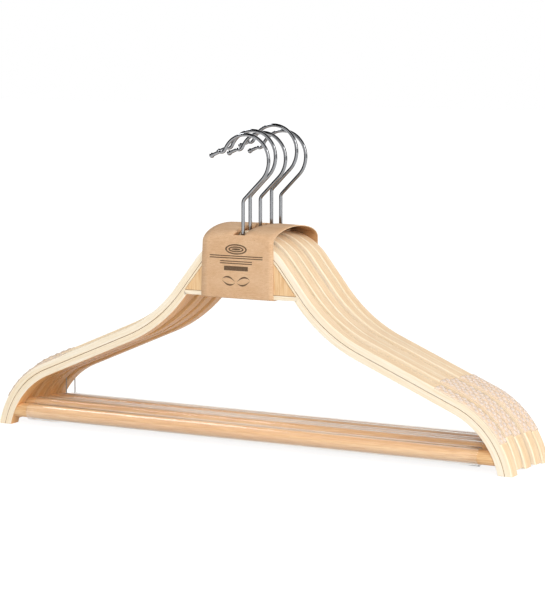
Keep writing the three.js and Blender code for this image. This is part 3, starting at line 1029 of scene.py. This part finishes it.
# The hooks: bent from bright plated wire, with a ball at the tip so that it doesn't scratch, and a
# riveted end in the neck's bush, in which each hook turns.
HOOK_RADIUS = 19.5
HOOK_OFFSET = 2.2
HOOK_RISE = 26.3
HOOK_SLANT = math.radians(45)
HOOK_ARC_END = math.radians(156)
HOOK_LIP_RADIUS = 3.5
HOOK_LIP_DROP = math.radians(23)
HOOK_LIP_LENGTH = 7.5
HOOK_BEND_RADIUS = 5
BALL_RADIUS = 2.1
BUSH_LENGTH = 14
BUSH_DEPTH = 3
RIVET_DIAMETER = 4.6
RIVET_HEIGHT = 1.6
WIRE_SIDES = 24
WIRE_SHARP = 50
BEND_STEP = 0.6
LOOP_STEP = 0.9
LIP_STEP = 0.5
BALL_STEPS = 14
TIP_RADIUS = 0.05
PLATING_SMEAR = (160, 160, 60)
chrome = mottled(
    "bright_plating", spot_source, PLATING_SMEAR, 3, ((0.3, "888A8D"), (0.7, "A2A3A6")), (0.05, 0.12),
    settings={"Metallic": 1.0},
)


def arc(x, z, radius, start, end, spacing):
    # Points on a bend of the wire, round a middle, between two angles.
    count = max(3, math.ceil(abs(end - start) * radius / spacing))
    points = []
    for step in range(count + 1):
        turn = start + (end - start) * step / count
        points.append((x + radius * math.cos(turn), z + radius * math.sin(turn)))
    return points


def hook_line(lift):
    # The wire's centre line from the rivet to the tip, in mm above the hanger's feet.
    bend_z = neck_top + HOOK_RISE + lift
    slant_width = HOOK_OFFSET + HOOK_RADIUS * math.sin(HOOK_SLANT)
    loop_z = bend_z + slant_width * math.tan(HOOK_SLANT) + HOOK_RADIUS * math.cos(HOOK_SLANT)
    rivet_bottom = crown - INNER_PLY - FIT_GAP - BUSH_DEPTH - BUSH_LENGTH + FIT_GAP
    trim = HOOK_BEND_RADIUS * math.tan(HOOK_SLANT / 2)
    points = [(0.0, rivet_bottom), (0.0, rivet_bottom + RIVET_HEIGHT)]
    points += [(0.0, rivet_bottom + RIVET_HEIGHT), (0.0, (rivet_bottom + bend_z) / 2)]
    points += arc(
        HOOK_BEND_RADIUS, bend_z - trim, HOOK_BEND_RADIUS, math.pi, math.pi - HOOK_SLANT, BEND_STEP
    )
    points += arc(HOOK_OFFSET, loop_z, HOOK_RADIUS, HOOK_SLANT - math.pi / 2, HOOK_ARC_END, LOOP_STEP)
    lip_x = HOOK_OFFSET + (HOOK_RADIUS + HOOK_LIP_RADIUS) * math.cos(HOOK_ARC_END)
    lip_z = loop_z + (HOOK_RADIUS + HOOK_LIP_RADIUS) * math.sin(HOOK_ARC_END)
    lip_end = -math.pi / 2 - HOOK_LIP_DROP
    lip = arc(lip_x, lip_z, HOOK_LIP_RADIUS, HOOK_ARC_END - math.pi, lip_end, LIP_STEP)
    points += lip[1:]
    end_x, end_z = lip[-1]
    away = (-math.cos(HOOK_LIP_DROP), -math.sin(HOOK_LIP_DROP))
    radii = [RIVET_DIAMETER / 2, RIVET_DIAMETER / 2] + [WIRE_DIAMETER / 2] * (len(points) - 2)
    neck = math.sqrt(BALL_RADIUS ** 2 - (WIRE_DIAMETER / 2) ** 2)
    for step in range(BALL_STEPS + 1):
        turn = math.acos(-neck / BALL_RADIUS) * (1 - step / BALL_STEPS)
        reach = HOOK_LIP_LENGTH + BALL_RADIUS * math.cos(turn)
        points.append((end_x + reach * away[0], end_z + reach * away[1]))
        radii.append(max(BALL_RADIUS * math.sin(turn), TIP_RADIUS))
    return points, radii


def wire_mesh(name, points, radii):
    # A round wire along a line in the hanger's plane, with a radius at each of its points.
    mesh = bpy.data.meshes.new(name)
    bm = bmesh.new()
    rows = []
    for at, ((x, z), radius) in enumerate(zip(points, radii)):
        before = next(
            (point for point in reversed(points[:at]) if math.dist(point, points[at]) > TOUCHING), None
        )
        after = next(
            (point for point in points[at + 1:] if math.dist(point, points[at]) > TOUCHING), None
        )
        start = Vector(before if before else points[at])
        end = Vector(after if after else points[at])
        if before and after:
            first = (Vector(points[at]) - start).normalized()
            second = (end - Vector(points[at])).normalized()
            along = (first + second).normalized()
        else:
            along = (end - start).normalized()
        row = []
        for side in range(WIRE_SIDES):
            turn = 2 * math.pi * side / WIRE_SIDES
            across = radius * math.cos(turn)
            deep = radius * math.sin(turn)
            row.append(bm.verts.new((
                (x - along.y * across) * MM, deep * MM, (z + along.x * across) * MM,
            )))
        rows.append(row)
    join_rings(bm, rows)
    bm.faces.new(rows[0])
    bm.faces.new(rows[-1])
    for face in bm.faces:
        face.smooth = True
    bmesh.ops.recalc_face_normals(bm, faces=bm.faces)
    bm.to_mesh(mesh)
    bm.free()
    mesh.set_sharp_from_angle(angle=math.radians(WIRE_SHARP))
    return mesh


plain_points = hook_line(0.0)[0]
plain_top = max(z for x, z in plain_points) + WIRE_DIAMETER / 2
for number in HANGERS:
    place = hanger_place(number)
    hook_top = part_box(f"hanger{number}_hook")[1].z
    lift = (hook_top - place.z) / MM - plain_top
    points, radii = hook_line(lift)
    mesh = wire_mesh(f"hanger{number}_wire_hook", points, radii)
    mesh.materials.append(chrome)
    hook = link(f"hanger{number}_wire_hook", mesh)
    hook.location = place
    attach(hook, f"hook{number}")
    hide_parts(f"hanger{number}_hook")

# The hook bushes: turned steel bushes pressed into the neck blocks, quite hidden in the wood.
# Each solid from the frame is the right shape and stays, with a turned steel finish.
LATHE_MARKS = (40, 40, 4000)
turned_steel = mottled(
    "turned_steel", spot_source, LATHE_MARKS, 2, ((0.3, "8F9295"), (0.7, "ABADB0")), (0.28, 0.42),
    settings={"Metallic": 1.0},
)
for number in HANGERS:
    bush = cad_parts[f"hanger{number}_hook_bush"]
    bush.data.materials.clear()
    bush.data.materials.append(turned_steel)

# The sleeve: one band of brown kraft card folded round the five necks. Its top is arched, with a
# slot for the hooks whose two long flaps are folded down inside.
SLEEVE_CARD = 0.6
SLEEVE_RISE = 6.2
EDGE_RELAX = 5.2
SLEEVE_TOP_LEFT = -30.2
SLOT_HALF = 5.2
FOLD_RADIUS = 1.2
FOLD_STEPS = 4
WALL_STEPS = 12
ARCH_STEPS = 40
SLOT_ABOVE_SPRING = 0.3
EDGE_CURVE = 1.5
FLAP_DEPTH = 6.5
FLAP_LEAST = 0.15
FLAP_CLEARANCE = 0.1
FLAP_SWING = 0.35
FLAP_FOLD = 0.5
FOLD_OVER = 0.25
FOLD_UNDER = 0.3
NECK_MARGIN = 1
PANEL_BULGE = 0.25
PANEL_SHARES = (0.0, 0.2, 0.4, 0.6, 0.8, 1.0)
CARD_FIBRES = (260, 1400, 1400)
FIBRE_ROUGHNESS = 0.65
CARD_BLOTCHES = (55, 90, 90)
CARD_SPECKS = (1500, 2600, 2600)
CUT_LAYERS = (900, 900, 900)


def card_face(name, tones):
    # Pressed brown fibres with darker specks and soft blotches, dull all over.
    finish, shade = new_finish(name)
    spot = spot_source(finish)
    fibres = stretched_noise(spot, CARD_FIBRES, 5, FIBRE_ROUGHNESS)
    blotches = stretched_noise(spot, CARD_BLOTCHES, 3)
    specks = stretched_noise(spot, CARD_SPECKS, 2)
    brown = tone_ramp(fibres, ((0.28, tones[0]), (0.52, tones[1]), (0.76, tones[2])))
    shades = tone_ramp(blotches, ((0.35, "F3EBE2"), (0.65, "FFFFFF")))
    brown = blended("MULTIPLY", 0.7, brown, shades)
    speck_tone = tone_ramp(specks, ((0.27, "A67C55"), (0.36, "FFFFFF")))
    brown = blended("MULTIPLY", 0.6, brown, speck_tone)
    joined(brown, shade.inputs["Base Color"])
    roughness_from(shade, fibres, 0.78, 0.92)
    relief(shade, fibres, 0.3)
    return finish


kraft_card = card_face("kraft_card", ("D3AC86", "DDB893", "E6C6A4"))
# The band's inner faces are painted shade: a darker brown for the shade inside the arch.
shaded_card_inside = card_face("card_inside_painted_shade", ("A57C54", "B48A60", "C29A70"))
cut_card = mottled(
    "cut_card_edge", spot_source, CUT_LAYERS, 4, ((0.3, "D9B48D"), (0.7, "EBD0AF")), (0.85, 0.95)
)

sleeve_low, sleeve_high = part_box("card_sleeve")
sleeve_left = sleeve_low.x / MM
sleeve_right = sleeve_high.x / MM
sleeve_half = (sleeve_high.y - sleeve_low.y) / 2 / MM
sleeve_bottom = sleeve_low.z / MM
sleeve_spring = sleeve_high.z / MM - SLEEVE_RISE
slot_middle = hanger_place(1).x / MM


def sleeve_section(relax):
    # The outside of the card in Y and Z, from the middle of the bottom round the front to the back.
    # The arch starts to bend in by so much lower.
    points = [(0.0, sleeve_bottom)]
    spring = sleeve_spring - relax
    rise = SLEEVE_RISE + relax
    for step in range(1, WALL_STEPS // 2):
        points.append((-(sleeve_half - FOLD_RADIUS) * 2 * step / WALL_STEPS, sleeve_bottom))
    for step in range(FOLD_STEPS + 1):
        turn = math.pi / 2 * step / FOLD_STEPS
        y = -sleeve_half + FOLD_RADIUS - FOLD_RADIUS * math.sin(turn)
        points.append((y, sleeve_bottom + FOLD_RADIUS - FOLD_RADIUS * math.cos(turn)))
    low = sleeve_bottom + FOLD_RADIUS
    for step in range(1, WALL_STEPS):
        points.append((-sleeve_half, low + (spring - low) * step / WALL_STEPS))
    for step in range(ARCH_STEPS // 2 + 1):
        turn = math.pi * step / ARCH_STEPS
        points.append((-sleeve_half * math.cos(turn), spring + rise * math.sin(turn)))
    front = points[:-1]
    back = [(-y, z) for y, z in reversed(front[1:])]
    return front + [points[-1]] + back


def sleeve_edge(z):
    # The die-cut left edge leans in a little towards the top.
    share = min(1.0, max(0.0, (z - sleeve_bottom) / (sleeve_spring - sleeve_bottom)))
    return sleeve_left + (SLEEVE_TOP_LEFT - sleeve_left) * share ** EDGE_CURVE


def neck_below(x, y):
    # How high the necks stand under a spot in the sleeve, beside the middle of their round crowns.
    round_crown = NECK_RADIUS + UPPER_THICKNESS
    drop = round_crown - math.sqrt(round_crown ** 2 - x ** 2)
    tops = [neck_top - drop]
    for number in HANGERS:
        place = hanger_place(number)
        if abs(place.y / MM - y) < STRIP_DEPTH / 2 + NECK_MARGIN:
            tops.append(neck_top - drop + place.z / MM)
    return max(tops)


def panel_out(x, z):
    # The front and back panels swell a little between their edges.
    up = (z - sleeve_bottom - FOLD_RADIUS) / (sleeve_spring - EDGE_RELAX - sleeve_bottom - FOLD_RADIUS)
    over = (x - sleeve_left) / (sleeve_right - sleeve_left)
    if not 0 < up < 1:
        return 0.0
    return PANEL_BULGE * math.sin(math.pi * up) * math.sin(math.pi * over)


section = sleeve_section(0.0)
slot_floor = sleeve_spring + SLOT_ABOVE_SPRING
mesh = bpy.data.meshes.new("kraft_sleeve")
bm = bmesh.new()
slot_left = slot_middle - SLOT_HALF
slot_right = slot_middle + SLOT_HALF
side_columns = len(PANEL_SHARES)
slot_columns = (side_columns - 1, side_columns)
rows = [[] for point in section]
for column in range(2 * side_columns + 1):
    over = column - side_columns
    if over < 0:
        spread = 1 - PANEL_SHARES[column]
    elif over == 0:
        spread = 0.0
    else:
        spread = PANEL_SHARES[over - 1]
    bent = sleeve_section(EDGE_RELAX * spread ** 2)
    for at, (y, z) in enumerate(bent):
        left = sleeve_edge(z)
        if over < 0:
            x = left + (slot_left - left) * PANEL_SHARES[column]
        elif over == 0:
            x = slot_middle
        else:
            x = slot_right + (sleeve_right - slot_right) * PANEL_SHARES[over - 1]
        out = math.copysign(panel_out(x, z), y)
        rows[at].append(bm.verts.new((x * MM, (y + out) * MM, z * MM)))
turns = list(zip(range(len(section)), list(range(1, len(section))) + [0]))
for here, there in turns:
    open_slot = section[here][1] >= slot_floor and section[there][1] >= slot_floor
    for at in range(len(rows[0]) - 1):
        if open_slot and at in slot_columns:
            continue
        bm.faces.new((rows[here][at], rows[here][at + 1], rows[there][at + 1], rows[there][at]))
# The slot's two flaps, folded down along its long edges and cut to the arch.
arch = [at for at, (y, z) in enumerate(section) if z >= slot_floor]
for column, side in ((side_columns - 1, -1), (side_columns + 1, 1)):
    hung = []
    for at in arch:
        y, z = section[at]
        top = rows[at][column]
        folded = z - FLAP_FOLD
        room = folded - neck_below(SLOT_HALF, y) - FLAP_CLEARANCE
        depth = min(FLAP_DEPTH, max(FLAP_LEAST, room))
        fold = bm.verts.new(((top.co.x / MM - side * FOLD_OVER) * MM, y * MM, folded * MM))
        under = top.co.x / MM + side * (FOLD_UNDER + FLAP_SWING * depth)
        lower = bm.verts.new((under * MM, y * MM, (folded - depth) * MM))
        hung.append((top, fold, lower))
    for here, there in zip(hung, hung[1:]):
        bm.faces.new((here[0], there[0], there[1], here[1]))
        bm.faces.new((here[1], there[1], there[2], here[2]))
for face in bm.faces:
    face.smooth = True
# The points in the open slot carry no card.
loose = [vert for vert in bm.verts if not vert.link_faces]
bmesh.ops.delete(bm, geom=loose, context="VERTS")
bmesh.ops.recalc_face_normals(bm, faces=bm.faces)
bm.to_mesh(mesh)
bm.free()
mesh.materials.append(kraft_card)
mesh.materials.append(cut_card)
mesh.materials.append(shaded_card_inside)
sleeve = link("kraft_sleeve", mesh)
thickness = sleeve.modifiers.new("card_thickness", "SOLIDIFY")
thickness.thickness = SLEEVE_CARD * MM
thickness.offset = -1
thickness.use_rim = True
# The inner faces take the darker painted shade brown.
thickness.material_offset = 2
thickness.material_offset_rim = 1
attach(sleeve, "pack")
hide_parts("card_sleeve")

# The sleeve's print: brown ink on the front panel, a plain pattern of its own. It has an oval of
# growth rings, two pairs of fine rules, a solid bar and two leaves. Heights are above the feet.
INK_LIFT = 0.04
INK_STEPS = 48
PRINT_MIDDLE = -1.4
RINGS_HEIGHT = 151.3
RINGS = ((9.3, 3.9, 7.9, 2.9), (6.6, 2.2, 5.2, 1.2), (3.9, 0.75, 0.0, 0.0))
RULES = ((146.2, 22.8), (144.6, 22.8), (142.2, 13.8), (140.6, 13.8))
RULE_WIDTH = 0.75
BAR_MARK = (136.9, 10.3, 1.7)
LEAF_HEIGHT = 126.2
LEAF_LENGTH = 11.6
LEAF_BELLY = 3.6
LEAF_LINE = 1.3
LEAF_GAP = 0.6
LEAF_TILT = 2.2
LEAF_FULLNESS = 0.8
INK_COVERAGE = (1500, 1500, 1500)
brown_ink = mottled(
    "brown_ink", spot_source, INK_COVERAGE, 4, ((0.3, "57422F"), (0.5, "66503B"), (0.72, "7E664D")),
    (0.7, 0.85),
)
print_mesh = bpy.data.meshes.new("sleeve_print")
bm = bmesh.new()


def ink_point(x, z):
    # A point of ink, just off the card.
    y = -sleeve_half - panel_out(x, z) - INK_LIFT
    return bm.verts.new((x * MM, y * MM, z * MM))


def ink_band(first, second, closed):
    # A strip of ink between two lines with as many points each.
    upper = [ink_point(x, z) for x, z in first]
    lower = [ink_point(x, z) for x, z in second]
    for at in range(len(upper) - (0 if closed else 1)):
        after = (at + 1) % len(upper)
        bm.faces.new((upper[at], lower[at], lower[after], upper[after]))


def oval(half_width, half_height, height):
    # Points round an oval in the middle of the print.
    ring = []
    for step in range(INK_STEPS):
        turn = 2 * math.pi * step / INK_STEPS
        ring.append((PRINT_MIDDLE + half_width * math.cos(turn), height + half_height * math.sin(turn)))
    return ring


for wide, high, inner_wide, inner_high in RINGS:
    outer_ring = oval(wide, high, RINGS_HEIGHT)
    if inner_wide:
        ink_band(outer_ring, oval(inner_wide, inner_high, RINGS_HEIGHT), True)
    else:
        bm.faces.new([ink_point(x, z) for x, z in outer_ring])
for height, half_width, half_line in [(z, half, RULE_WIDTH / 2) for z, half in RULES] + [BAR_MARK]:
    stops = [PRINT_MIDDLE + half_width * (2 * step / INK_STEPS - 1) for step in range(INK_STEPS + 1)]
    ink_band([(x, height + half_line) for x in stops], [(x, height - half_line) for x in stops], False)
for side in (-1, 1):
    over = []
    under = []
    for step in range(INK_STEPS + 1):
        share = step / INK_STEPS
        x = PRINT_MIDDLE + side * (LEAF_GAP + LEAF_LENGTH * share)
        rib = LEAF_HEIGHT + LEAF_TILT * share
        belly = LEAF_BELLY * math.sin(math.pi * share) ** LEAF_FULLNESS
        over.append((x, rib + belly))
        under.append((x, rib - belly))
    for line, lean in ((over, -1), (under, 1)):
        inside = []
        for at, (x, z) in enumerate(line):
            inside.append((x, z + lean * LEAF_LINE * math.sin(math.pi * at / INK_STEPS)))
        ink_band(line[1:-1], inside[1:-1], False)
bmesh.ops.recalc_face_normals(bm, faces=bm.faces)
for face in bm.faces:
    if face.normal.y > 0:
        face.normal_flip()
bm.to_mesh(print_mesh)
bm.free()
print_mesh.materials.append(brown_ink)
sleeve_print = link("sleeve_print", print_mesh)
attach(sleeve_print, "pack")

# The tie: a thin loop of stiff grey plastic line round the rear hanger's left arm and bar. The
# photo doesn't show how its ends are joined. The solid from the frame has its shape and stays.
TIE_STREAKS = (900, 900, 120)
tie_plastic = mottled(
    "tie_plastic", spot_source, TIE_STREAKS, 3, ((0.3, "A09B96"), (0.7, "BDB8B2")), (0.35, 0.5),
    settings={"Transmission Weight": 0.25},
)
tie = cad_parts["tie_loop"]
tie.data.materials.clear()
tie.data.materials.append(tie_plastic)
